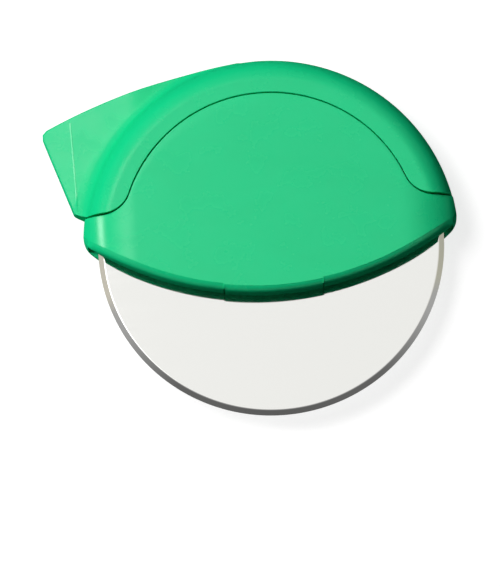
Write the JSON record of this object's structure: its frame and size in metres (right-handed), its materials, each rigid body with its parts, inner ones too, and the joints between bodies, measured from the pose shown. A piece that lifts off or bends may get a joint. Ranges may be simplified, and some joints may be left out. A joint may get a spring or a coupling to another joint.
{
  "type": "pizza cutter wheel",
  "caption": "Palm-held pizza wheel: a bevelled steel disc turning between two lens-shaped covers, under an arched palm grip with a finger guard.",
  "frame": {"origin": "on the flat rear face, on the blade's axis; the part lies on its back", "axes": "+X along the body away from the finger guard, +Y from the cutting edge towards the palm grip, +Z out of the front face along the blade's axis"},
  "size_m": [0.1181, 0.1043, 0.0212],
  "materials": {
    "green_plastic": "smooth satin gloss, injection moulded",
    "blade_steel": "polished stainless sheet with a ground bevel",
    "hub_plastic": "pale grey acetal, as moulded",
    "bush_bronze": "sintered bronze, machined",
    "fastener_steel": "bright stainless, turned"
  },
  "bodies": {
    "body": {"palm_grip": "green_plastic", "rear_cover": "green_plastic", "grip_screws": "fastener_steel", "axle_pin": "fastener_steel", "washer_rear": "fastener_steel", "washer_front": "fastener_steel", "axle_screw": "fastener_steel"},
    "wheel": {"blade": "blade_steel", "hub_front": "hub_plastic", "hub_rear": "hub_plastic", "hub_rivets": "fastener_steel", "bearing_bush": "bush_bronze"},
    "cover": {"front_cover": "green_plastic"}
  },
  "joints": [
    {"name": "blade_spin", "type": "hinge", "parent": "body", "child": "wheel", "pos_m": [0, 0, 0.0106], "axis": [0, 0, 1], "continuous": true},
    {"name": "cover_lift", "type": "slide", "parent": "body", "child": "cover", "axis": [0, 0, 1], "range_m": [0, 0.045]}
  ]
}
